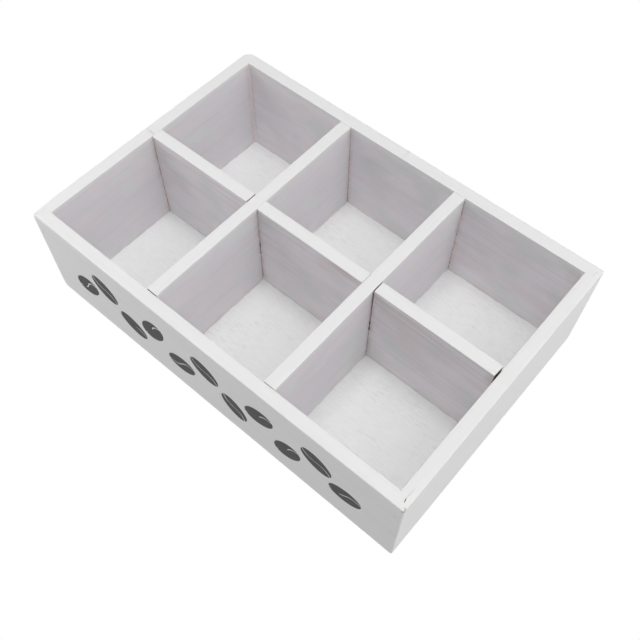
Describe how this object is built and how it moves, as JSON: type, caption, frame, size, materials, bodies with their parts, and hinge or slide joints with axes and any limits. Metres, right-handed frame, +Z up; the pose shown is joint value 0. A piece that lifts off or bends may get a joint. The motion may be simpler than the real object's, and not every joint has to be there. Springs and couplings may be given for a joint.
{
  "type": "compartment tray",
  "caption": "Shallow open-top wooden box with a thin let-in floor and a loose egg-crate grid of divider boards that lifts out.",
  "frame": {"origin": "middle of the footprint, on the surface the box stands on", "axes": "+X along the length, towards the right end as seen from the front; the front wall faces -Y; +Z up, out of the open top"},
  "size_m": [0.3, 0.201, 0.082],
  "materials": {
    "whitewashed_board": "satin white wash over pale softwood, grain faintly visible",
    "whitewashed_plywood": "thin matt white wash over plywood, grey-brown grain streaks",
    "whitewashed_divider": "matt white wash over pale softwood, bare wood at some edges",
    "brad_steel": "bright drawn wire",
    "painted_filler": "sanded and painted over",
    "front_ornament": "flat charcoal stencil paint"
  },
  "bodies": {
    "box": {"front_wall": "whitewashed_board", "back_wall": "whitewashed_board", "left_wall": "whitewashed_board", "right_wall": "whitewashed_board", "floor_panel": "whitewashed_plywood", "corner_brads": "brad_steel", "brad_filler": "painted_filler", "floor_brads": "brad_steel"},
    "long_divider": {"long_divider": "whitewashed_divider"},
    "cross_divider_left": {"cross_divider_left": "whitewashed_divider"},
    "cross_divider_right": {"cross_divider_right": "whitewashed_divider"}
  },
  "joints": [
    {"name": "long_divider_lift", "type": "slide", "parent": "box", "child": "long_divider", "axis": [0, 0, 1], "range_m": [0, 0.085]},
    {"name": "cross_divider_left_lift", "type": "slide", "parent": "long_divider", "child": "cross_divider_left", "axis": [0, 0, 1], "range_m": [0, 0.085]},
    {"name": "cross_divider_right_lift", "type": "slide", "parent": "long_divider", "child": "cross_divider_right", "axis": [0, 0, 1], "range_m": [0, 0.085]}
  ]
}
